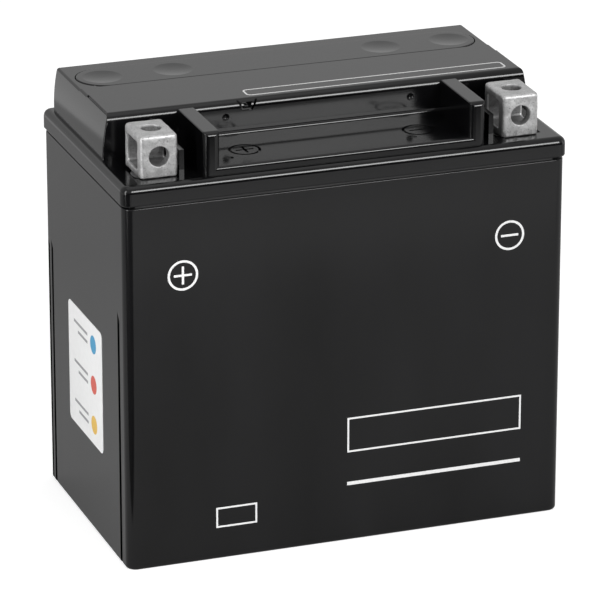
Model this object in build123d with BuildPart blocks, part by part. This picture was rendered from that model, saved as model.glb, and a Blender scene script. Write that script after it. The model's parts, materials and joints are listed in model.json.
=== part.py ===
"""Sealed 12 V motorcycle battery with six cells, 150 x 87 x 145 mm, as separate pieces.

Millimetres. +X runs along the long side, from the positive terminal to the negative one.
-Y is the front, where the terminals are, and +Z is up. The origin is the middle of the base.
"""

import os
from math import atan, cos, degrees, hypot, radians, sin, tan

from build123d import *

# Outer size
length = 150.0
width = 87.0
container_height = 122.7
seam_gap = 0.8
flange_thickness = 6.5
block_height = 15.0

# Container
end_overhang = 0.5
side_overhang = 0.3
side_draft = 0.2
end_wall = 3.3
side_wall = 2.65
floor_thickness = 3.0
partition_thickness = 1.8
case_corner = 3.4
base_edge = 1.2
case_top_edge = 0.4
cell_count = 6
cell_corner = 1.0
rim_inset = 1.4
rim_height = 3.0
rim_clearance = 0.1

# Grooves down the two ends of the container, as (front side, back side)
end_grooves = ((-36.7, -34.6), (34.7, 36.6), (38.4, 40.2))
groove_depth = 0.8
groove_top = 86.3
groove_fade = 9.0

# Lid: flange and raised block
lid_corner = 3.0
flange_edge = 2.3
flange_bottom_edge = 0.5
block_setback = 28.0
block_end_inset = 2.4
block_back_inset = 5.0
block_lean = 1.95
block_bow = 0.45
shoulder_radius = 0.9
block_front_edge = 2.6
flank_front_edge = 0.5
block_back_corner = 1.8
panel_depth = 22.0
panel_step = 0.3
crease_step = 0.3
crease_radius = 0.3
crease_angle = 50.0
lid_wall = 2.5
lid_roof = 2.5
cavity_inset = 1.2

# Lid: platform, terrace and fins between the terminals
platform_setback = 2.2
platform_rise = 2.8
platform_edge = 1.2
fin_offset = 16.2
fin_thickness = 5.4
fin_drop = 0.6
fin_edge = 1.9
fin_front_top_edge = 1.7
fin_top_edge = 0.4
terrace_depth = 2.8
terrace_rise = 3.1
terrace_edge = 1.2
polarity_ring_offset = 15.3
polarity_ring_setback = 15.7
polarity_ring_diameter = 10.5
polarity_line = 0.9
polarity_bar = 6.0
engraving_depth = 0.6
pin_mark_diameter = 2.4
pin_mark_depth = 0.7
pin_mark_offset = 13.3
pin_mark_drop = 5.1
floor_mark_setback = 9.6
floor_mark_offsets = (8.3, 19.3)

# Terminals
terminal_end_inset = 14.1
terminal_setback = 6.0
terminal_width = 12.5
terminal_depth = 16.5
terminal_height = 14.2
terminal_edge = 1.3
terminal_foot_edge = 0.4
terminal_front_wall = 3.6
terminal_back_wall = 2.8
terminal_roof = 2.8
terminal_floor = 2.2
window_corner = 0.8
front_hole_diameter = 6.5
top_hole_diameter = 6.5
foot_diameter = 11.0
pocket_depth = 0.8
pocket_length = 15.4
pocket_width = 13.0
guard_offsets = (7.6, 9.8)
guard_thickness = 1.6
guard_height = 8.2
guard_depth = 10.0
guard_setback = 7.0

# Lead bushes, posts and their seals
post_diameter = 9.0
post_clearance = 0.1
bush_wall = 2.0
bush_clearance = 0.05
boss_wall = 2.4
boss_drop = 7.5
seal_height = 2.5

# Cap strip, its plugs and seal rings
cap_end_inset = 6.4
cap_depth = 19.0
cap_margin = 5.1
cap_thickness = 1.9
cap_proud = 0.25
cap_gap = 0.35
cap_edge = 0.4
plug_length = 8.0
filler_diameter = 11.0
filler_wall = 1.5
filler_length = 8.5
plug_gap = 0.6
plug_wall = 1.6
ring_gap = 0.1
ring_groove_depth = 0.6
ring_height = 2.0
ring_drop = 3.0
dimple_diameter = 13.0
dimple_depth = 0.32
ring_clearance = 0.03

# Relief valve, flame filter and vent
filter_diameter = 8.6
filter_height = 1.4
filter_drop = 0.4
filter_clearance = 0.15
valve_diameter = 6.6
valve_clearance = 0.3
valve_lift = 1.0
valve_roof = 1.2
valve_skirt = 2.4
nozzle_diameter = 3.8
nozzle_clearance = 0.1
nozzle_bore = 1.4
nozzle_base = 1.6
chamber_wall = 1.0
vent_bore = 1.2
vent_side_angle = 59.0
vent_mouth_width = 1.9
vent_mouth_height = 1.4
vent_mouth_drop = 0.9
vent_mouth_depth = 2.6
vent_groove_width = 3.3
vent_groove_drop = 3.5
vent_groove_line = 0.65
vent_groove_depth = 1.3
gallery_bore = 2.0
gallery_rise = 4.5

# Plates, separators and straps in each cell
positive_plates_per_cell = 4
positive_plate = 2.1
negative_plate = 1.4
stack_clearance = 0.15
plate_side_gap = 1.85
plate_bottom_gap = 1.5
plate_headroom = 24.5
separator_overlap = 1.5
separator_side_gap = 0.3
lug_width = 9.0
lug_height = 6.0
strap_width = 12.0
strap_thickness = 5.0
strap_end_gap = 0.6
back_strap_inset = 16.5
riser_thickness = 3.2
riser_height = 9.0
weld_diameter = 7.0
weld_clearance = 0.05

# Label on the left end
label_width = 35.8
label_height = 41.8
label_corner = 2.0
label_thickness = 0.15
label_y = 0.1
label_z = 51.6

# Heights
seam_z = container_height + seam_gap
flange_top = seam_z + flange_thickness
height = flange_top + block_height
rim_top = seam_z + rim_height
platform_top = flange_top + platform_rise
terrace_top = platform_top + terrace_rise
fin_top = height - fin_drop
middle_top = height - panel_step
rear_top = middle_top - crease_step
cap_top = rear_top + cap_proud
cap_seat = cap_top - cap_thickness
cavity_top = cap_seat - lid_roof

# Container and cell sizes
case_length = length - 2 * end_overhang
case_width = width - 2 * side_overhang
base_width = case_width - 2 * side_draft
cell_pitch = (case_length - 2 * end_wall + partition_thickness) / cell_count
cell_length = cell_pitch - partition_thickness
cell_width = base_width - 2 * side_wall
plate_width = cell_width - 2 * plate_side_gap
cell_middles = [(i - (cell_count - 1) / 2) * cell_pitch for i in range(cell_count)]
partition_middles = [x + cell_pitch / 2 for x in cell_middles[:-1]]

# Places along the lid
front = -width / 2
block_front = front + block_setback
block_back = width / 2 - block_back_inset
panel_back = block_front + panel_depth
cap_y = block_back - cap_margin - cap_depth / 2
crease_y = cap_y - cap_depth / 2 - cap_gap
platform_front = front + platform_setback
terminal_x = length / 2 - terminal_end_inset
fin_middle = terminal_x - fin_offset
fin_outside = fin_middle + fin_thickness / 2
polarity_ring_x = fin_middle - polarity_ring_offset
pin_mark_x = fin_middle - pin_mark_offset
floor_mark_xs = (-fin_middle + floor_mark_offsets[0], fin_middle - floor_mark_offsets[1])
guard_xs = (-terminal_x + guard_offsets[0], terminal_x - guard_offsets[1])
cap_length = length - 2 * cap_end_inset
terminal_y = front + terminal_setback + terminal_depth / 2
back_strap_y = width / 2 - back_strap_inset

# The bowed flank leans further in at its top than its chord does, and the shoulder is tangent to it
flank_chord = hypot(block_lean, block_height)
crown_lean = degrees(atan(block_lean / block_height) + 2 * atan(2 * block_bow / flank_chord))
shoulder_x = length / 2 - block_end_inset - block_lean - shoulder_radius / tan(radians(90 + crown_lean) / 2)
crease_x = shoulder_x + shoulder_radius * cos(radians(crease_angle))
crease_z = height - shoulder_radius + shoulder_radius * sin(radians(crease_angle))
vent_x = partition_middles[cell_count // 2 - 2]

# Bush, post and seal
bush_bore = post_diameter + 2 * post_clearance
bush_diameter = bush_bore + 2 * bush_wall
bush_hole = bush_diameter + 2 * bush_clearance
boss_diameter = bush_hole + 2 * boss_wall
boss_bottom = rim_top - boss_drop
pocket_floor = flange_top - pocket_depth

# Plate group
negative_plates_per_cell = positive_plates_per_cell + 1
separators_per_cell = 2 * positive_plates_per_cell
plates_together = (positive_plates_per_cell * positive_plate
                   + negative_plates_per_cell * negative_plate)
separator_thickness = (cell_length - 2 * stack_clearance - plates_together) / separators_per_cell
plate_bottom = floor_thickness + plate_bottom_gap
plate_top = container_height - plate_headroom
plate_height = plate_top - plate_bottom
strap_bottom = plate_top + lug_height
strap_top = strap_bottom + strap_thickness
strap_length = cell_length - 2 * strap_end_gap
weld_z = strap_top + riser_height / 2

# Relief valve chamber
filter_hole = filter_diameter + 2 * filter_clearance
filter_top = cap_seat - filter_drop
filter_bottom = filter_top - filter_height
valve_bore = valve_diameter + 2 * valve_clearance
valve_top = filter_bottom - valve_lift
nozzle_top = valve_top - valve_roof
valve_bottom = nozzle_top - valve_skirt
chamber_floor = valve_bottom - valve_clearance
vent_z = filter_top - vent_bore / 2
vent_riser_y = block_front + vent_mouth_depth - vent_bore / 2
mouth_top = height - vent_mouth_drop
gallery_z = rim_top + gallery_rise


def save(builder, name):
    """Give a finished piece its name and write it as a STEP file."""
    builder.part.label = name
    export_step(builder.part, f"parts/{name}.step")


def strap_y(cell, positive):
    """The straps change sides from cell to cell, so that neighbours meet at each partition."""
    at_front = (cell % 2 == 0) == positive
    return terminal_y if at_front else back_strap_y


def vent_outline(bottom, top, bottom_width):
    """Corners of an outline around the vent, in the block's front, which widens towards its top."""
    bottom_half = bottom_width / 2
    top_half = bottom_half + (top - bottom) / tan(radians(vent_side_angle))
    return [(vent_x - top_half, top), (vent_x - bottom_half, bottom),
            (vent_x + bottom_half, bottom), (vent_x + top_half, top)]


def dent_ball(diameter, depth):
    """Radius of the ball that presses a round dent of that width and depth into a flat face."""
    return (diameter ** 2 / 4 + depth ** 2) / (2 * depth)


os.makedirs("parts", exist_ok=True)

# Container: a drafted case with partitions, a stepped rim, and grooves down its two ends
with BuildPart() as container:
    with BuildSketch(Plane.XY):
        RectangleRounded(case_length, base_width, case_corner)
    with BuildSketch(Plane.XY.offset(container_height)):
        RectangleRounded(case_length, case_width, case_corner)
    loft(ruled=True)
    fillet(container.faces().sort_by(Axis.Z)[-1].edges(), case_top_edge)
    fillet(container.faces().sort_by(Axis.Z)[0].edges(), base_edge)
    with BuildSketch(Plane.XY.offset(container_height)):
        RectangleRounded(case_length - 2 * rim_inset, case_width - 2 * rim_inset, case_corner - rim_inset / 2)
    extrude(amount=rim_top - container_height)
    for groove_front, groove_back in end_grooves:
        with BuildSketch(Plane.XZ.offset(-groove_back)):
            surface = case_length / 2
            with BuildLine():
                Polyline((surface - groove_depth, 0), (surface, 0), (surface, groove_top),
                         (surface - groove_depth, groove_top - groove_fade), close=True)
            make_face()
            mirror(about=Plane.YZ)
        extrude(amount=groove_back - groove_front, mode=Mode.SUBTRACT)
    with BuildSketch(Plane.XY.offset(floor_thickness)):
        with Locations(*[(x, 0) for x in cell_middles]):
            RectangleRounded(cell_length, cell_width, cell_corner)
    extrude(amount=height, mode=Mode.SUBTRACT)
    for cell, x in enumerate(partition_middles):
        weld_y = strap_y(cell, positive=False)
        with BuildSketch(Plane.YZ.offset(x - cell_pitch / 2)):
            with Locations((weld_y, weld_z)):
                Circle(weld_diameter / 2)
        extrude(amount=cell_pitch, mode=Mode.SUBTRACT)
save(container, "container")

# Block of the lid: leaning, slightly bowed flanks, and a top that steps down twice towards the back
foot_x = length / 2 - block_end_inset
crown_x = foot_x - block_lean
zones = ((panel_back, block_front, height), (crease_y, panel_back, middle_top),
         (block_back, crease_y, rear_top))
with BuildPart() as block:
    for zone_back, zone_front, zone_top in zones:
        with BuildSketch(Plane.XZ.offset(-zone_back)) as profile:
            with BuildLine():
                Line((0, rim_top), (foot_x, rim_top))
                Line((foot_x, rim_top), (foot_x, flange_top))
                ThreePointArc((foot_x, flange_top),
                              ((foot_x + crown_x) / 2 + block_bow, (flange_top + height) / 2),
                              (crown_x, height))
                Line((crown_x, height), (0, height))
                Line((0, height), (0, rim_top))
            make_face()
            mirror(about=Plane.YZ)
            with Locations((0, zone_top + block_height / 2)):
                Rectangle(length, block_height, mode=Mode.SUBTRACT)
            fillet(profile.vertices().group_by(Axis.Y)[-1], shoulder_radius)
        extrude(amount=zone_back - zone_front)
        if zone_top == height:
            front_face = block.faces().sort_by(Axis.Y)[0]
            fillet(front_face.edges().filter_by_position(Axis.Z, rim_top + 1, height), flank_front_edge)
            with BuildSketch(Plane.YZ.offset(-foot_x)) as side_profile:
                with Locations(((zone_front + zone_back) / 2, (rim_top + height) / 2)):
                    Rectangle(zone_back - zone_front, height - rim_top)
                fillet(side_profile.vertices().group_by(Axis.Y)[-1].sort_by(Axis.X)[0], block_front_edge)
            extrude(amount=2 * foot_x, mode=Mode.INTERSECT)
    with BuildSketch(Plane.XY.offset(rim_top)) as block_plan:
        with Locations((0, (block_front + block_back) / 2)):
            Rectangle(2 * foot_x, block_back - block_front)
        fillet(block_plan.vertices().group_by(Axis.Y)[-1], block_back_corner)
    extrude(amount=height - rim_top, mode=Mode.INTERSECT)

# Platform between the terminals, with a low terrace at its back and a fin at each end
with BuildPart() as platform:
    with BuildSketch(Plane.XY.offset(rim_top)):
        with Locations((0, (platform_front + block_front) / 2)):
            Rectangle(2 * fin_middle, block_front - platform_front)
    extrude(amount=platform_top - rim_top)
    fillet(platform.faces().sort_by(Axis.Z)[-1].edges().sort_by(Axis.Y)[0], platform_edge)
    with BuildSketch(Plane.XY.offset(rim_top)):
        with Locations((0, block_front - terrace_depth / 2)):
            Rectangle(2 * fin_middle, terrace_depth)
    extrude(amount=terrace_top - rim_top)
    fillet(platform.faces().sort_by(Axis.Z)[-1].edges().sort_by(Axis.Y)[0], terrace_edge)

with BuildPart() as fins:
    with BuildSketch(Plane.XY.offset(rim_top)) as fin_plan:
        with Locations((-fin_middle, (platform_front + block_front) / 2),
                       (fin_middle, (platform_front + block_front) / 2)):
            Rectangle(fin_thickness, block_front - platform_front)
        fillet(fin_plan.vertices().group_by(Axis.Y)[0], fin_edge)
    extrude(amount=fin_top - rim_top)
    with BuildSketch(Plane.YZ.offset(-fin_outside)) as fin_side:
        with Locations(((platform_front + block_front) / 2, (rim_top + fin_top) / 2)):
            Rectangle(block_front - platform_front, fin_top - rim_top)
        fillet(fin_side.vertices().group_by(Axis.Y)[-1].sort_by(Axis.X)[0], fin_front_top_edge)
    extrude(amount=2 * fin_outside, mode=Mode.INTERSECT)
    fillet(fins.edges().group_by(Axis.Z)[-1].filter_by(Axis.Y), fin_top_edge)

# Lid: flange, block, platform and fins in one, hollowed for the cells, plugs, posts and valve
with BuildPart() as lid:
    with BuildSketch(Plane.XY.offset(seam_z)):
        RectangleRounded(length, width, lid_corner)
    extrude(amount=flange_thickness)
    fillet(lid.faces().sort_by(Axis.Z)[-1].edges(), flange_edge)
    fillet(lid.faces().sort_by(Axis.Z)[0].edges(), flange_bottom_edge)
    add(block.part)
    add(platform.part)
    add(fins.part)

    # Pocket for the container's rim, and one cavity in the block over each cell
    with BuildSketch(Plane.XY.offset(seam_z)):
        RectangleRounded(case_length - 2 * rim_inset + 2 * rim_clearance,
                         case_width - 2 * rim_inset + 2 * rim_clearance, case_corner - rim_inset / 2)
    extrude(amount=rim_height, mode=Mode.SUBTRACT)
    with BuildSketch(Plane.XY.offset(rim_top)):
        with Locations(*[(x, (block_front + block_back) / 2) for x in cell_middles]):
            RectangleRounded(cell_length - 2 * cavity_inset, block_back - block_front - 2 * lid_wall,
                             cell_corner)
    extrude(amount=cavity_top - rim_top, mode=Mode.SUBTRACT)

    # Seat for the cap strip, and a filler tube over each cell
    with BuildSketch(Plane.XY.offset(cap_seat)):
        with Locations((0, cap_y)):
            SlotOverall(cap_length + 2 * cap_gap, cap_depth + 2 * cap_gap)
    extrude(amount=height - cap_seat, mode=Mode.SUBTRACT)
    with BuildSketch(Plane.XY.offset(cap_seat - filler_length)):
        with Locations(*[(x, cap_y) for x in cell_middles]):
            Circle(filler_diameter / 2 + filler_wall)
    extrude(amount=filler_length)
    with BuildSketch(Plane.XY.offset(cap_seat)):
        with Locations(*[(x, cap_y) for x in cell_middles]):
            Circle(filler_diameter / 2)
    extrude(amount=-filler_length, mode=Mode.SUBTRACT)

    # Chamber of the relief valve, in the wall between two cells, with its nozzle and vent
    with BuildSketch(Plane.XY.offset(chamber_floor - nozzle_base)):
        with Locations((vent_x, cap_y)):
            Circle(valve_bore / 2 + chamber_wall)
    extrude(amount=cap_seat - chamber_floor + nozzle_base)
    with Locations((vent_x, cap_y, cap_seat)):
        CounterBoreHole(valve_bore / 2, filter_hole / 2, cap_seat - filter_bottom, cap_seat - chamber_floor)
    with BuildSketch(Plane.XY.offset(chamber_floor)):
        with Locations((vent_x, cap_y)):
            Circle(nozzle_diameter / 2)
    extrude(amount=nozzle_top - chamber_floor)
    with BuildSketch(Plane.XY.offset(nozzle_top)):
        with Locations((vent_x, cap_y)):
            Circle(nozzle_bore / 2)
    extrude(amount=gallery_z - nozzle_top, mode=Mode.SUBTRACT)
    with BuildSketch(Plane.YZ.offset(cell_middles[0])):
        with Locations((cap_y, gallery_z)):
            Circle(gallery_bore / 2)
    extrude(amount=cell_middles[-1] - cell_middles[0], mode=Mode.SUBTRACT)
    with BuildSketch(Plane.XZ.offset(-cap_y)):
        with Locations((vent_x, vent_z)):
            Circle(vent_bore / 2)
    extrude(amount=cap_y - vent_riser_y, mode=Mode.SUBTRACT)
    with BuildSketch(Plane.XY.offset(vent_z)):
        with Locations((vent_x, vent_riser_y)):
            Circle(vent_bore / 2)
    extrude(amount=mouth_top - vent_z - vent_bore / 2, mode=Mode.SUBTRACT)
    with BuildSketch(Plane.XZ.offset(-block_front - vent_mouth_depth)):
        with BuildLine():
            Polyline(vent_outline(mouth_top - vent_mouth_height, mouth_top, vent_mouth_width), close=True)
        make_face()
    extrude(amount=vent_mouth_depth, mode=Mode.SUBTRACT)
    with BuildSketch(Plane.XZ.offset(-block_front - vent_groove_depth)):
        with BuildLine():
            Polyline(vent_outline(height - vent_groove_drop, height + vent_groove_line, vent_groove_width),
                     close=True)
        make_face()
        offset(amount=-vent_groove_line, mode=Mode.SUBTRACT)
    extrude(amount=vent_groove_depth, mode=Mode.SUBTRACT)

    # Bosses for the lead bushes, a shallow pocket under each terminal, and a thin guard rib beside it
    with BuildSketch(Plane.XY.offset(boss_bottom)):
        with Locations((-terminal_x, terminal_y), (terminal_x, terminal_y)):
            Circle(boss_diameter / 2)
    extrude(amount=boss_drop)
    with BuildSketch(Plane.XY.offset(flange_top)):
        with Locations((-terminal_x, terminal_y), (terminal_x, terminal_y)):
            Rectangle(pocket_length, pocket_width)
    extrude(amount=-pocket_depth, mode=Mode.SUBTRACT)
    with BuildSketch(Plane.XY.offset(pocket_floor)):
        with Locations(*[(x, front + guard_setback + guard_depth / 2) for x in guard_xs]):
            Rectangle(guard_thickness, guard_depth)
    extrude(amount=flange_top + guard_height - pocket_floor)
    with BuildSketch(Plane.XY.offset(boss_bottom)):
        with Locations((-terminal_x, terminal_y), (terminal_x, terminal_y)):
            Circle(bush_hole / 2)
    extrude(amount=pocket_floor - boss_bottom, mode=Mode.SUBTRACT)

    # Fine creases along the shoulders of the block's front panel
    for side in (-1, 1):
        with BuildSketch(Plane.XZ.offset(-panel_back + crease_radius)):
            with Locations((side * crease_x, crease_z)):
                Circle(crease_radius)
        extrude(amount=panel_depth - block_front_edge, mode=Mode.SUBTRACT)

    # Polarity signs and moulding marks in the platform and in the wall behind it
    ring_y = front + polarity_ring_setback
    with BuildSketch(Plane.XY.offset(platform_top)):
        with Locations((-polarity_ring_x, ring_y), (polarity_ring_x, ring_y)):
            Circle(polarity_ring_diameter / 2)
            Circle(polarity_ring_diameter / 2 - polarity_line, mode=Mode.SUBTRACT)
            Rectangle(polarity_bar, polarity_line)
        with Locations((-polarity_ring_x, ring_y)):
            Rectangle(polarity_line, polarity_bar)
    extrude(amount=-engraving_depth, mode=Mode.SUBTRACT)
    mark_ball = dent_ball(pin_mark_diameter, pin_mark_depth)
    mark_rise = mark_ball - pin_mark_depth
    floor_marks = [(x, front + floor_mark_setback, platform_top + mark_rise) for x in floor_mark_xs]
    wall_marks = [(x, block_front - mark_rise, height - pin_mark_drop) for x in (-pin_mark_x, pin_mark_x)]
    with Locations(*floor_marks, *wall_marks):
        Sphere(mark_ball, mode=Mode.SUBTRACT)
save(lid, "lid")

# Cap strip: a long plate with a hollow plug over each cell, and soft dimples at both ends
plug_radius = filler_diameter / 2 - plug_gap
groove_radius = plug_radius - ring_groove_depth
ring_top = cap_seat - ring_drop
with BuildPart() as cap_strip:
    with BuildSketch(Plane.XY.offset(cap_seat)):
        with Locations((0, cap_y)):
            SlotOverall(cap_length, cap_depth)
    extrude(amount=cap_thickness)
    fillet(cap_strip.faces().sort_by(Axis.Z)[-1].edges(), cap_edge)
    for x in cell_middles:
        with BuildSketch(Plane.XY.offset(cap_seat)):
            with Locations((x, cap_y)):
                Circle(plug_radius)
                Circle(plug_radius - plug_wall, mode=Mode.SUBTRACT)
        extrude(amount=-plug_length)
        with BuildSketch(Plane.XY.offset(ring_top)):
            with Locations((x, cap_y)):
                Circle(plug_radius)
                Circle(groove_radius, mode=Mode.SUBTRACT)
        extrude(amount=-ring_height, mode=Mode.SUBTRACT)
    dimple_ball = dent_ball(dimple_diameter, dimple_depth)
    dimpled = (cell_middles[0], cell_middles[1], cell_middles[-2], cell_middles[-1])
    with Locations(*[(x, cap_y, cap_top + dimple_ball - dimple_depth) for x in dimpled]):
        Sphere(dimple_ball, mode=Mode.SUBTRACT)
save(cap_strip, "cap_strip")

for cell, x in enumerate(cell_middles, 1):
    with BuildPart() as cap_seal:
        with BuildSketch(Plane.XY.offset(ring_top)):
            with Locations((x, cap_y)):
                Circle(filler_diameter / 2 - ring_gap)
                Circle(groove_radius + ring_clearance, mode=Mode.SUBTRACT)
        extrude(amount=-ring_height)
    save(cap_seal, f"cap_seal_{cell}")

# Relief valve, a rubber cap on its nozzle, and the flame filter above it
with BuildPart() as relief_valve:
    with BuildSketch(Plane.XY.offset(valve_bottom)):
        with Locations((vent_x, cap_y)):
            Circle(valve_diameter / 2)
    extrude(amount=valve_top - valve_bottom)
    with BuildSketch(Plane.XY.offset(valve_bottom)):
        with Locations((vent_x, cap_y)):
            Circle(nozzle_diameter / 2 + nozzle_clearance)
    extrude(amount=valve_skirt, mode=Mode.SUBTRACT)
save(relief_valve, "relief_valve")

with BuildPart() as flame_filter:
    with BuildSketch(Plane.XY.offset(filter_bottom)):
        with Locations((vent_x, cap_y)):
            Circle(filter_diameter / 2)
    extrude(amount=filter_height)
save(flame_filter, "flame_filter")

# Terminals: hollow blocks, open sideways for a nut, with a bolt hole in front and one on top
terminal_front = front + terminal_setback
terminal_top = flange_top + terminal_height
window_depth = terminal_depth - terminal_front_wall - terminal_back_wall
window_height = terminal_height - terminal_roof - terminal_floor
window_y = terminal_front + terminal_front_wall + window_depth / 2
window_z = flange_top + terminal_floor + window_height / 2
for polarity, x in (("positive", -terminal_x), ("negative", terminal_x)):
    with BuildPart() as terminal:
        with Locations((x, terminal_y, flange_top + terminal_height / 2)):
            Box(terminal_width, terminal_depth, terminal_height)
        top_edges = terminal.faces().sort_by(Axis.Z)[-1].edges()
        fillet(terminal.edges().filter_by(Axis.Z) + top_edges, terminal_edge)
        fillet(terminal.faces().sort_by(Axis.Z)[0].edges(), terminal_foot_edge)
        with BuildSketch(Plane.YZ.offset(x - terminal_width / 2)):
            with Locations((window_y, window_z)):
                RectangleRounded(window_depth, window_height, window_corner)
        extrude(amount=terminal_width, mode=Mode.SUBTRACT)
        with BuildSketch(Plane.XZ.offset(-terminal_front)):
            with Locations((x, flange_top + terminal_height / 2)):
                Circle(front_hole_diameter / 2)
        extrude(amount=-terminal_front_wall, mode=Mode.SUBTRACT)
        with BuildSketch(Plane.XY.offset(terminal_top)):
            with Locations((x, terminal_y)):
                Circle(top_hole_diameter / 2)
        extrude(amount=-terminal_roof, mode=Mode.SUBTRACT)
        with BuildSketch(Plane.XY.offset(flange_top)):
            with Locations((x, terminal_y)):
                Circle(foot_diameter / 2)
        extrude(amount=-pocket_depth)
    save(terminal, f"{polarity}_terminal")

    with BuildPart() as bush:
        with BuildSketch(Plane.XY.offset(pocket_floor)):
            with Locations((x, terminal_y)):
                Circle(bush_diameter / 2)
                Circle(bush_bore / 2, mode=Mode.SUBTRACT)
        extrude(amount=boss_bottom + seal_height - pocket_floor)
    save(bush, f"{polarity}_bush")

    with BuildPart() as post_seal:
        with BuildSketch(Plane.XY.offset(boss_bottom)):
            with Locations((x, terminal_y)):
                Circle(bush_diameter / 2)
                Circle(bush_bore / 2, mode=Mode.SUBTRACT)
        extrude(amount=seal_height)
    save(post_seal, f"{polarity}_post_seal")

    with BuildPart() as post:
        with BuildSketch(Plane.XY.offset(strap_top)):
            with Locations((x, terminal_y)):
                Circle(post_diameter / 2)
        extrude(amount=pocket_floor - strap_top)
    save(post, f"{polarity}_post")

# Plates, glass mat separators and straps of each cell
plate_period = positive_plate + negative_plate + 2 * separator_thickness
plate_z = plate_bottom + plate_height / 2
separator_height = plate_top + separator_overlap - floor_thickness
separator_z = floor_thickness + separator_height / 2
separator_width = cell_width - 2 * separator_side_gap
for cell, cell_x in enumerate(cell_middles):
    stack_start = cell_x - cell_length / 2 + stack_clearance
    first_positive = stack_start + negative_plate + separator_thickness + positive_plate / 2
    groups = (("positive", positive_plate, positive_plates_per_cell, first_positive),
              ("negative", negative_plate, negative_plates_per_cell, stack_start + negative_plate / 2))
    for polarity, plate_thickness, plates, first_x in groups:
        side_y = strap_y(cell, polarity == "positive")
        plate_xs = [first_x + i * plate_period for i in range(plates)]
        with BuildPart() as plate_group:
            with Locations(*[(x, 0, plate_z) for x in plate_xs]):
                Box(plate_thickness, plate_width, plate_height)
            with Locations(*[(x, side_y, plate_top + lug_height / 2) for x in plate_xs]):
                Box(plate_thickness, lug_width, lug_height)
        save(plate_group, f"cell_{cell + 1}_{polarity}_plates")

        # Each strap joins its plates' lugs, and stands up against the partition that it is welded through
        towards = -1 if polarity == "positive" else 1
        at_end = cell == (0 if polarity == "positive" else cell_count - 1)
        with BuildPart() as strap:
            with Locations((cell_x, side_y, strap_bottom + strap_thickness / 2)):
                Box(strap_length, strap_width, strap_thickness)
            if not at_end:
                riser_x = cell_x + towards * (cell_length - riser_thickness) / 2
                with Locations((riser_x, side_y, (strap_bottom + strap_top + riser_height) / 2)):
                    Box(riser_thickness, strap_width, strap_thickness + riser_height)
        save(strap, f"cell_{cell + 1}_{polarity}_strap")

    gap_xs = [stack_start + negative_plate + separator_thickness / 2 + i * plate_period
              for i in range(positive_plates_per_cell)]
    gap_xs += [x + positive_plate + separator_thickness for x in gap_xs]
    with BuildPart() as separators:
        with Locations(*[(x, 0, separator_z) for x in gap_xs]):
            Box(separator_thickness, separator_width, separator_height)
    save(separators, f"cell_{cell + 1}_separators")

# Lead welds that join neighbouring cells through the partitions
for cell, x in enumerate(partition_middles):
    with BuildPart() as weld:
        with BuildSketch(Plane.YZ.offset(x - partition_thickness / 2)):
            with Locations((strap_y(cell, positive=False), weld_z)):
                Circle(weld_diameter / 2 - weld_clearance)
        extrude(amount=partition_thickness)
    save(weld, f"intercell_weld_{cell + 1}")

# Label on the left end
with BuildPart() as side_label:
    with BuildSketch(Plane.YZ.offset(-case_length / 2)):
        with Locations((label_y, label_z)):
            RectangleRounded(label_width, label_height, label_corner)
    extrude(amount=-label_thickness)
save(side_label, "side_label")
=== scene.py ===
"""Looks of the sealed motorcycle battery: finishes, prints, cast terminals, studio and camera.

Blender metres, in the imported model's own frame: +X along the long side, -Y the front, +Z up.
"""

import json
from math import cos, pi, radians, sin

import bmesh
import bpy
from mathutils import Matrix, Vector, noise
from mathutils.bvhtree import BVHTree


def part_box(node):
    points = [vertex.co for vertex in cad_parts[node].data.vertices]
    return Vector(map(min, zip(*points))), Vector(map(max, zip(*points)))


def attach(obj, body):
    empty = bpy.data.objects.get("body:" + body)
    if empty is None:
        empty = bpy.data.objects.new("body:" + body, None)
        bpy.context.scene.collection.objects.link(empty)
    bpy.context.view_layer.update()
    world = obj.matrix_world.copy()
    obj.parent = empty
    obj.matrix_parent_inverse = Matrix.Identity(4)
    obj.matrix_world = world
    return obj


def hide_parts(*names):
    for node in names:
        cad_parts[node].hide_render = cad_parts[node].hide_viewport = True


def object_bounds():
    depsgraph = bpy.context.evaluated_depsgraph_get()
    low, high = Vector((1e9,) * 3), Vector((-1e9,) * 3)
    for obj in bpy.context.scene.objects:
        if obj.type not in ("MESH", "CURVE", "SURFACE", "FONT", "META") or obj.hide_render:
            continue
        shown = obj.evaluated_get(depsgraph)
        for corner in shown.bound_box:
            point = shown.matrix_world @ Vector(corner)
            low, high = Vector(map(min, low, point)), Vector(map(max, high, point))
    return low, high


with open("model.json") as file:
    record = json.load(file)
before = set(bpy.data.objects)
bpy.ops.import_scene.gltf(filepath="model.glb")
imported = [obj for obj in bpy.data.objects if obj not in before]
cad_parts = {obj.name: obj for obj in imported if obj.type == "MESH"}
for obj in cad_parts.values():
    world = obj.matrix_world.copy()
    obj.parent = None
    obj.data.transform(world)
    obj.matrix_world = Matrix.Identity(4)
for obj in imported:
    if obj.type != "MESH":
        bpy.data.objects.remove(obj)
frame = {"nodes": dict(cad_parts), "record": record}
nodes = frame["nodes"]
cad_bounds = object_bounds()
low, high = cad_bounds
MM = 0.001

# Moulded plastic: depths of what shows in its shading, and how wide the dip over a wall inside is
flow_depth = 0.25 * MM
grain_depth = 0.012 * MM
sink_depth = 0.02 * MM
sink_half_width = 4 * MM

# Camera, at the photograph's angle
view_azimuth = radians(-20.2)
view_elevation = radians(20.25)
view_roll = radians(0.15)
view_distance = 1.5221
view_target = Vector((0.0091, 0.0, 0.07557))
view_lens = 278.0
view_shift = (-0.047, -0.0394)
sensor_width = 36.0
clip_range = (0.05, 50.0)

# Studio. A mirror, glass and the camera see the floor's glow and the world at their full strength.
floor_size = 6.0
floor_dark = (0.79, 0.79, 0.79)
floor_light = (0.81, 0.81, 0.81)
floor_glow = 0.56
world_light = 0.45
world_seen = 0.8

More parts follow.
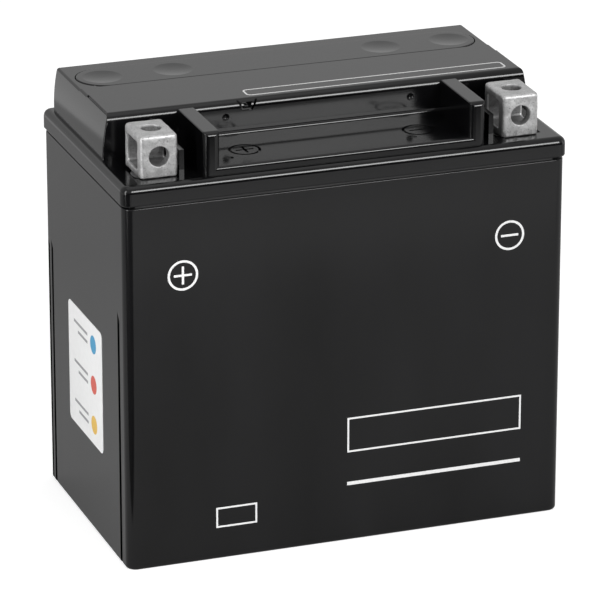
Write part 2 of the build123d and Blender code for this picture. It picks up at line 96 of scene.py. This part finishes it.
# Softboxes: azimuth and elevation in degrees, distance, width, height, radiance
key_softbox = (21.0, 25.0, 1.9, 0.56, 0.56, 20.0)
side_softbox = (75.0, 12.0, 1.0, 0.30, 0.60, 1.6)
top_softbox = (0.0, 88.0, 1.2, 0.9, 0.9, 0.6)
strip_softbox = (-60.0, 20.0, 0.28, 0.06, 0.30, 10.5)

# Cards that only reflections show: one stands in front of the battery, and two lie on the floor
card_black = (0.02, 0.02, 0.02)
standing_card_x = (-1.0, 1.2)
standing_card_y = -0.42
standing_card_top = 0.19
dark_card_x = (-0.50, -0.10)
dark_card_y = (-0.50, -0.07)
dark_card_height = 0.4 * MM
paper_mat_x = (-0.60, 0.60)
paper_mat_y = (-0.30, 0.50)
paper_mat_height = 0.2 * MM

# Prints
print_lift = 0.02 * MM
print_depth = 0.05 * MM
sign_diameter = 10.1 * MM
sign_line = 0.75 * MM
sign_bar = 6.0 * MM
sign_height = 98.9 * MM
sign_x = 55.4 * MM
frame_line = 0.6 * MM
rating_frame = (0.0, 60.4 * MM, 31.0 * MM, 43.0 * MM)
rating_bar = (0.0, 60.4 * MM, 19.5 * MM, 20.7 * MM)
small_frame = (-44.8 * MM, -30.9 * MM, 11.0 * MM, 18.0 * MM)
top_frame = (-22.8 * MM, 66.6 * MM, -11.6 * MM, -5.5 * MM)
top_frame_corner = 1.6 * MM

# Label; each row has lines at these heights above its middle, with these shares of the full length
label_rows = 3
label_dot = 6.2 * MM
label_line = 1.0 * MM
label_lines = ((1.4 * MM, 1.0), (-1.4 * MM, 0.7))
label_margin = 6.0 * MM

# Cast terminals
cast_voxel = 0.25 * MM
cast_roughness = 0.05 * MM
cast_waviness = 0.09 * MM
cast_ragged_height = 2.2 * MM
cast_ragged_depth = 0.45 * MM
# Faces deeper than this inside a terminal's box get the darker lead, as painted shade
cast_inner_depth = 0.75 * MM
cast_grain = 0.7 * MM
cast_wave = 3.5 * MM
cast_bite = 1.3 * MM
cast_bite_share = 0.15
cast_smoothings = 4
foot_probe = (0.3 * MM, -1.0 * MM)


def new_material(name):
    """A node material, with its node tree and main shader."""
    material = bpy.data.materials.new(name)
    material.use_nodes = True
    tree = material.node_tree
    return material, tree, tree.nodes["Principled BSDF"]


def object_noise(tree, scale, detail=3.0, stretch=(1.0, 1.0, 1.0)):
    """Noise in the part's own coordinates; a scale of 1000 gives grains of about 1 mm."""
    place = tree.nodes.new("ShaderNodeTexCoord")
    mapping = tree.nodes.new("ShaderNodeMapping")
    mapping.inputs["Scale"].default_value = stretch
    texture = tree.nodes.new("ShaderNodeTexNoise")
    texture.inputs["Scale"].default_value = scale
    texture.inputs["Detail"].default_value = detail
    tree.links.new(place.outputs["Object"], mapping.inputs["Vector"])
    tree.links.new(mapping.outputs["Vector"], texture.inputs["Vector"])
    return texture.outputs["Fac"]


def ranged(tree, value, low_in, high_in, low_out, high_out):
    """The value, moved from one range to another."""
    node = tree.nodes.new("ShaderNodeMapRange")
    limits = (("From Min", low_in), ("From Max", high_in), ("To Min", low_out), ("To Max", high_out))
    for socket, number in limits:
        node.inputs[socket].default_value = number
    tree.links.new(value, node.inputs["Value"])
    return node.outputs["Result"]


def colours(tree, value, stops):
    """A colour ramp over the value, as (place, colour) stops."""
    ramp = tree.nodes.new("ShaderNodeValToRGB")
    ramp.color_ramp.elements[0].position = stops[0][0]
    ramp.color_ramp.elements[0].color = (*stops[0][1], 1.0)
    ramp.color_ramp.elements[1].position = stops[-1][0]
    ramp.color_ramp.elements[1].color = (*stops[-1][1], 1.0)
    for place, colour in stops[1:-1]:
        element = ramp.color_ramp.elements.new(place)
        element.color = (*colour, 1.0)
    tree.links.new(value, ramp.inputs["Fac"])
    return ramp.outputs["Color"]


def bumped(tree, height, distance, normal=None, strength=1.0):
    """A bump of that height in metres over the surface."""
    bump = tree.nodes.new("ShaderNodeBump")
    bump.inputs["Strength"].default_value = strength
    bump.inputs["Distance"].default_value = distance
    tree.links.new(height, bump.inputs["Height"])
    if normal is not None:
        tree.links.new(normal, bump.inputs["Normal"])
    return bump.outputs["Normal"]


def moulded_plastic(name, base, roughness, index, sinks=None):
    """Black moulded plastic: a near mirror with slow waves, a fine grain and faint flow marks.

    sinks is the place and pitch of the walls inside, which show as faint dips outside.
    """
    material, tree, shader = new_material(name)
    links = tree.links
    shader.inputs["IOR"].default_value = index
    flow = object_noise(tree, 22.0, 4.0, (1.0, 1.0, 0.35))
    links.new(colours(tree, flow, ((0.3, [c * 0.4 for c in base]), (0.7, [c * 1.6 for c in base]))),
              shader.inputs["Base Color"])
    grain = object_noise(tree, 900.0, 2.0)
    rough = ranged(tree, flow, 0.3, 0.7, roughness * 0.85, roughness * 1.15)
    links.new(rough, shader.inputs["Roughness"])
    normal = bumped(tree, flow, flow_depth, strength=0.12)
    normal = bumped(tree, grain, grain_depth, normal, 0.25)
    if sinks:
        start, pitch = sinks
        place = tree.nodes.new("ShaderNodeTexCoord")
        split = tree.nodes.new("ShaderNodeSeparateXYZ")
        shift = tree.nodes.new("ShaderNodeMath")
        shift.operation = "SUBTRACT"
        shift.inputs[1].default_value = start
        fold = tree.nodes.new("ShaderNodeMath")
        fold.operation = "PINGPONG"
        fold.inputs[1].default_value = pitch / 2
        links.new(place.outputs["Object"], split.inputs["Vector"])
        links.new(split.outputs["X"], shift.inputs[0])
        links.new(shift.outputs["Value"], fold.inputs[0])
        dip = tree.nodes.new("ShaderNodeMapRange")
        dip.interpolation_type = "SMOOTHSTEP"
        dip.inputs["From Max"].default_value = sink_half_width
        links.new(fold.outputs["Value"], dip.inputs["Value"])
        normal = bumped(tree, dip.outputs["Result"], sink_depth, normal)
    links.new(normal, shader.inputs["Normal"])
    return material


def cast_lead(name, dark, light, roughness, metal=0.8):
    """Cast lead: dull grey metal, mottled, with small dark pits and bright rubbed specks."""
    material, tree, shader = new_material(name)
    links = tree.links
    shader.inputs["Metallic"].default_value = metal
    mottle = object_noise(tree, 420.0, 5.0)
    speck = object_noise(tree, 2600.0, 2.0)
    specks = ((0.30, (0.35,) * 3), (0.42, (1.0,) * 3), (0.66, (1.0,) * 3), (0.74, (1.5,) * 3))
    pits = colours(tree, speck, specks)
    body = colours(tree, mottle, ((0.3, (dark,) * 3), (0.7, (light,) * 3)))
    mix = tree.nodes.new("ShaderNodeMix")
    mix.data_type = "RGBA"
    mix.blend_type = "MULTIPLY"
    mix.inputs["Factor"].default_value = 0.8
    links.new(body, mix.inputs["A"])
    links.new(pits, mix.inputs["B"])
    links.new(mix.outputs["Result"], shader.inputs["Base Color"])
    rough = ranged(tree, mottle, 0.3, 0.7, roughness * 0.85, roughness * 1.15)
    links.new(rough, shader.inputs["Roughness"])
    normal = bumped(tree, mottle, 0.12 * MM, strength=0.5)
    normal = bumped(tree, speck, 0.03 * MM, normal, 0.6)
    links.new(normal, shader.inputs["Normal"])
    return material


def plain_finish(name, colour, roughness, scale, depth, spread=0.12, sheen=0.0):
    """A dull finish whose colour and height vary at one scale, such as paper, paste, felt or rubber."""
    material, tree, shader = new_material(name)
    links = tree.links
    shader.inputs["Roughness"].default_value = roughness
    shader.inputs["Sheen Weight"].default_value = sheen
    grain = object_noise(tree, scale, 4.0)
    dark = [c * (1 - spread) for c in colour]
    light = [min(c * (1 + spread), 1.0) for c in colour]
    links.new(colours(tree, grain, ((0.3, dark), (0.7, light))), shader.inputs["Base Color"])
    links.new(bumped(tree, grain, depth), shader.inputs["Normal"])
    return material


def surface_point(node, start, direction):
    """Where a ray first meets a CAD node, and the normal there."""
    tree = surface_point.trees.get(node)
    if tree is None:
        mesh = nodes[node].data
        tree = BVHTree.FromPolygons([v.co for v in mesh.vertices], [p.vertices for p in mesh.polygons])
        surface_point.trees[node] = tree
    point, normal, _, _ = tree.ray_cast(start, direction)
    return point, normal


surface_point.trees = {}


def on_front(x, z):
    return surface_point("container", Vector((x, low.y - 0.1, z)), Vector((0, 1, 0)))


def on_top(x, y):
    return surface_point("lid", Vector((x, y, high.z + 0.1)), Vector((0, 0, -1)))


def on_label(y, z):
    return surface_point("side_label", Vector((low.x - 0.1, y, z)), Vector((1, 0, 0)))


def circle(x, y, radius, steps=96):
    turns = [2 * pi * i / steps for i in range(steps)]
    return [(x + radius * cos(turn), y + radius * sin(turn)) for turn in turns]


def rounded_rectangle(x0, x1, y0, y1, radius=0.0, steps=8):
    """Points round a rectangle, counterclockwise, with an arc at each corner."""
    points = []
    for cx, cy, start in ((x1 - radius, y0 + radius, -90), (x1 - radius, y1 - radius, 0),
                          (x0 + radius, y1 - radius, 90), (x0 + radius, y0 + radius, 180)):
        for i in range(steps + 1):
            angle = radians(start + 90 * i / steps)
            points.append((cx + radius * cos(angle), cy + radius * sin(angle)))
    return points


def bar(x0, x1, y0, y1):
    return [(x0, y0), (x1, y0), (x1, y1), (x0, y1)]


def band(outer, inner):
    """Quads between two outlines with the same number of points."""
    count = len(outer)
    return [[outer[i], outer[(i + 1) % count], inner[(i + 1) % count], inner[i]] for i in range(count)]


def frame_band(x0, x1, y0, y1, line, radius=0.0):
    inner_radius = max(radius - line, 0.0)
    return band(rounded_rectangle(x0, x1, y0, y1, radius),
                rounded_rectangle(x0 + line, x1 - line, y0 + line, y1 - line, inner_radius))


def printed(name, polygons, place, body, material):
    """A thin closed film on a surface: its polygons' points are placed there, and it gets its depth."""
    mesh = bpy.data.meshes.new(name)
    shape = bmesh.new()
    for polygon in polygons:
        corners = []
        for u, v in polygon:
            point, normal = place(u, v)
            corners.append(shape.verts.new(point + normal * print_lift))
        face = shape.faces.new(corners)
        face.normal_update()
        if face.normal.dot(normal) < 0:
            face.normal_flip()
    bmesh.ops.remove_doubles(shape, verts=shape.verts, dist=0.001 * MM)
    shape.to_mesh(mesh)
    shape.free()
    piece = bpy.data.objects.new(name, mesh)
    bpy.context.scene.collection.objects.link(piece)
    solid = piece.modifiers.new("depth", "SOLIDIFY")
    solid.thickness = print_depth
    solid.offset = -1.0
    mesh.materials.append(material)
    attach(piece, body)


def cast_terminal(node, material, painted_shade_material):
    """A rough casting, ragged at its lower edge, in place of a terminal's CAD solid; its inside faces get
    a darker, duller lead, which is painted shade.
    """
    source = nodes[node]
    piece = bpy.data.objects.new(f"{node}_casting", source.data.copy())
    bpy.context.scene.collection.objects.link(piece)
    piece.data.materials.clear()
    piece.data.materials.append(material)
    piece.data.materials.append(painted_shade_material)
    remesh = piece.modifiers.new("even", "REMESH")
    remesh.mode = "VOXEL"
    remesh.voxel_size = cast_voxel
    remesh.use_smooth_shade = True
    smooth = piece.modifiers.new("smooth", "SMOOTH")
    smooth.iterations = cast_smoothings
    evaluated = piece.evaluated_get(bpy.context.evaluated_depsgraph_get())
    mesh = bpy.data.meshes.new_from_object(evaluated)
    piece.modifiers.clear()
    piece.data = mesh
    node_low, node_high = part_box(node)
    beside = Vector((node_high.x + foot_probe[0], node_low.y + foot_probe[1], high.z))
    foot = surface_point("lid", beside, Vector((0, 0, -1)))[0].z
    moved = []
    for vertex in mesh.vertices:
        co, normal = vertex.co, vertex.normal
        grain = noise.noise(co / cast_grain) * cast_roughness
        wave = noise.noise(co / cast_wave + Vector((7.0, 3.0, 1.0))) * cast_waviness
        move = normal * (grain + wave - cast_roughness)
        above = co.z - foot
        if 0 < above < cast_ragged_height:
            share = 1 - above / cast_ragged_height
            ragged = noise.noise(Vector((co.x, co.y, 0)) / cast_bite) + cast_bite_share
            bite = max(ragged, 0) * cast_ragged_depth * share
            move -= Vector((normal.x, normal.y, 0)) * bite
        moved.extend(co + move)
    mesh.vertices.foreach_set("co", moved)
    for polygon in mesh.polygons:
        polygon.use_smooth = True
        depths = [d for c, a, b in zip(polygon.center, node_low, node_high) for d in (c - a, b - c)]
        # Faces deep inside the terminal take the darker lead: painted shade in its hollows
        polygon.material_index = 1 if min(depths) > cast_inner_depth else 0
    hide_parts(node)
    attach(piece, "battery")


def area_lamp(name, azimuth, elevation, distance, width, height, radiance, aim):
    """A softbox that faces aim, with the radiance of its face rather than its power."""
    lamp = bpy.data.lights.new(name, "AREA")
    lamp.shape = "RECTANGLE"
    lamp.size = width
    lamp.size_y = height
    lamp.energy = radiance * pi * width * height
    fixture = bpy.data.objects.new(name, lamp)
    bpy.context.scene.collection.objects.link(fixture)
    a, e = radians(azimuth), radians(elevation)
    away = Vector((sin(a) * cos(e), -cos(a) * cos(e), sin(e)))
    fixture.location = aim + away * distance
    fixture.rotation_euler = away.to_track_quat("Z", "Y").to_euler()
    fixture.visible_camera = False


def make_camera():
    camera = bpy.data.cameras.new("camera")
    camera.lens = view_lens
    camera.sensor_width = sensor_width
    camera.shift_x, camera.shift_y = view_shift
    camera.clip_start, camera.clip_end = clip_range
    holder = bpy.data.objects.new("camera", camera)
    bpy.context.scene.collection.objects.link(holder)
    back = Vector((sin(view_azimuth) * cos(view_elevation), -cos(view_azimuth) * cos(view_elevation),
                   sin(view_elevation)))
    right = Vector((0, 0, 1)).cross(back).normalized()
    up = back.cross(right)
    rolled_right = right * cos(view_roll) + up * sin(view_roll)
    rolled_up = up * cos(view_roll) - right * sin(view_roll)
    turn = Matrix((rolled_right, rolled_up, back)).transposed().to_4x4()
    holder.matrix_world = Matrix.Translation(view_target + back * view_distance) @ turn
    bpy.context.scene.camera = holder


def seen_ray(tree):
    """1 for a ray from the camera, a mirror or glass, and 0 for light."""
    path = tree.nodes.new("ShaderNodeLightPath")
    total = path.outputs["Is Camera Ray"]
    for kind in ("Is Glossy Ray", "Is Transmission Ray"):
        either = tree.nodes.new("ShaderNodeMath")
        either.operation = "MAXIMUM"
        tree.links.new(total, either.inputs[0])
        tree.links.new(path.outputs[kind], either.inputs[1])
        total = either.outputs["Value"]
    return total


def floor_material():
    """White paper that glows a little where it is seen, so that it is white and keeps its shadow."""
    material, tree, shader = new_material("floor_paper")
    links = tree.links
    shader.inputs["Roughness"].default_value = 0.95
    shader.inputs["Specular IOR Level"].default_value = 0.0
    shader.inputs["Emission Color"].default_value = (1.0, 1.0, 1.0, 1.0)
    mottle = object_noise(tree, 3.0)
    paper = colours(tree, mottle, ((0.3, floor_dark), (0.7, floor_light)))
    links.new(paper, shader.inputs["Base Color"])
    glow = ranged(tree, seen_ray(tree), 0.0, 1.0, 0.0, floor_glow)
    links.new(glow, shader.inputs["Emission Strength"])
    return material


def card(name, corners, material):
    """A studio card that only reflections show."""
    mesh = bpy.data.meshes.new(name)
    mesh.from_pydata(corners, [], [(0, 1, 2, 3)])
    mesh.materials.append(material)
    piece = bpy.data.objects.new(name, mesh)
    bpy.context.scene.collection.objects.link(piece)
    piece.visible_camera = piece.visible_diffuse = piece.visible_shadow = False


def make_studio():
    """A pale floor, a white world, soft lamps, and the cards that shape the reflections."""
    aim = (low + high) / 2
    mesh = bpy.data.meshes.new("floor")
    half = floor_size / 2
    corners = [(x, y, low.z) for x, y in bar(-half, half, -half, half)]
    mesh.from_pydata(corners, [], [(0, 1, 2, 3)])
    floor = bpy.data.objects.new("floor", mesh)
    bpy.context.scene.collection.objects.link(floor)
    mesh.materials.append(floor_material())

    area_lamp("key_softbox", *key_softbox, aim)
    area_lamp("strip_softbox", *strip_softbox, Vector((low.x, low.y, aim.z)))
    area_lamp("side_softbox", *side_softbox, aim)
    area_lamp("top_softbox", *top_softbox, aim)

    black = plain_finish("card_black", card_black, 0.9, 200.0, 0.1 * MM)
    grey = plain_finish("card_paper", floor_dark, 0.95, 200.0, 0.1 * MM, 0.01)
    upright = bar(*standing_card_x, low.z, standing_card_top)
    card("black_card", [(x, standing_card_y, z) for x, z in upright], black)
    dark, mat = bar(*dark_card_x, *dark_card_y), bar(*paper_mat_x, *paper_mat_y)
    card("black_floor_card", [(x, y, dark_card_height) for x, y in dark], black)
    card("paper_mat", [(x, y, paper_mat_height) for x, y in mat], grey)

    world = bpy.data.worlds.new("studio")
    bpy.context.scene.world = world
    world.use_nodes = True
    tree = world.node_tree
    background = tree.nodes["Background"]
    background.inputs["Color"].default_value = (1.0, 1.0, 1.0, 1.0)
    strength = ranged(tree, seen_ray(tree), 0.0, 1.0, world_light, world_seen)
    tree.links.new(strength, background.inputs["Strength"])


def make_finishes():
    """One material for each slot of the record, and one for each colour of print."""
    welds = [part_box(node) for node in nodes if node.startswith("intercell_weld")]
    weld_places = sorted((start.x + end.x) / 2 for start, end in welds)
    sinks = (weld_places[0], weld_places[1] - weld_places[0])
    return {
        "case_plastic": moulded_plastic("case_plastic", (0.0042, 0.0042, 0.0045), 0.17, 1.34, sinks),
        "lid_plastic": moulded_plastic("lid_plastic", (0.0025, 0.0025, 0.0028), 0.13, 1.36),
        "cap_plastic": moulded_plastic("cap_plastic", (0.003, 0.003, 0.0033), 0.16, 1.36),
        "terminal_lead": cast_lead("terminal_lead", 0.38, 0.53, 0.50),
        # The terminals' inside faces: a darker, duller lead that paints their shade
        "inner_lead": cast_lead("terminal_lead_painted_shade", 0.15, 0.24, 0.6, 0.6),
        "lead": cast_lead("lead", 0.25, 0.34, 0.5),
        "positive_paste": plain_finish("positive_paste", (0.12, 0.06, 0.04), 0.9, 700.0, 0.08 * MM, 0.25),
        "negative_paste": plain_finish("negative_paste", (0.30, 0.31, 0.33), 0.85, 700.0, 0.08 * MM, 0.2),
        "filter_ceramic": plain_finish("filter_ceramic", (0.7, 0.68, 0.64), 0.9, 2500.0, 0.1 * MM, 0.15),
        "glass_mat": plain_finish("glass_mat", (0.8, 0.8, 0.78), 0.95, 1800.0, 0.12 * MM, 0.08, sheen=0.3),
        "label_paper": plain_finish("label_paper", (0.84, 0.84, 0.84), 0.45, 500.0, 0.01 * MM, 0.02),
        "rubber": plain_finish("rubber", (0.02, 0.02, 0.02), 0.7, 900.0, 0.02 * MM, 0.2),
        "print_white": plain_finish("print_white", (0.74, 0.74, 0.74), 0.5, 1500.0, 0.01 * MM, 0.05),
    }


def dress_nodes(finishes):
    """Gives every CAD node the material of its slot."""
    for part in frame["record"]["subparts"]:
        mesh = nodes[part["node"]].data
        mesh.materials.clear()
        mesh.materials.append(finishes[part["material_slot"]])


def make_prints(white):
    """Polarity signs and plain frames on the front, and a plain frame on the lid."""
    signs = (("positive_sign", -sign_x, True), ("negative_sign", sign_x, False))
    for name, x, plus in signs:
        radius = sign_diameter / 2
        half_bar, half_line = sign_bar / 2, sign_line / 2
        polygons = band(circle(x, sign_height, radius), circle(x, sign_height, radius - sign_line))
        polygons.append(bar(x - half_bar, x + half_bar, sign_height - half_line, sign_height + half_line))
        if plus:
            for start, end in ((half_line, half_bar), (-half_bar, -half_line)):
                polygons.append(bar(x - half_line, x + half_line, sign_height + start, sign_height + end))
        printed(name, polygons, on_front, "battery", white)
    plain = (("rating_frame", frame_band(*rating_frame, frame_line), on_front),
             ("rating_bar", [bar(*rating_bar)], on_front),
             ("small_frame", frame_band(*small_frame, frame_line), on_front),
             ("lid_frame", frame_band(*top_frame, frame_line, top_frame_corner), on_top))
    for name, polygons, place in plain:
        printed(name, polygons, place, "battery", white)


def make_label_print():
    """A plain coloured dot and two grey lines in each row of the end label."""
    label_low, label_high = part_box("side_label")
    inks = (("blue", (0.05, 0.30, 0.52)), ("red", (0.62, 0.10, 0.07)),
            ("yellow", (0.75, 0.47, 0.08)))
    grey = plain_finish("label_grey_ink", (0.30, 0.30, 0.31), 0.5, 1500.0, 0.01 * MM, 0.05)
    pitch = (label_high.z - label_low.z) / label_rows
    start = label_low.y + label_margin
    end = label_high.y - label_margin
    lines = []
    for row, (ink, colour) in enumerate(inks):
        middle = label_high.z - (row + 0.5) * pitch
        centre = start + label_dot / 2
        material = plain_finish(f"label_{ink}_ink", colour, 0.5, 1500.0, 0.01 * MM, 0.06)
        printed(f"label_dot_{ink}", [circle(centre, middle, label_dot / 2)], on_label, "battery",
                material)
        for step, length in label_lines:
            left = centre + label_dot
            z = middle + step
            lines.append(bar(left, left + (end - left) * length, z - label_line / 2, z + label_line / 2))
    printed("label_lines", lines, on_label, "battery", grey)


make_camera()
make_studio()
finishes = make_finishes()
dress_nodes(finishes)
make_prints(finishes["print_white"])
make_label_print()
for terminal in ("positive_terminal", "negative_terminal"):
    cast_terminal(terminal, finishes["terminal_lead"], finishes["inner_lead"])

bpy.context.scene.view_settings.view_transform = "Standard"
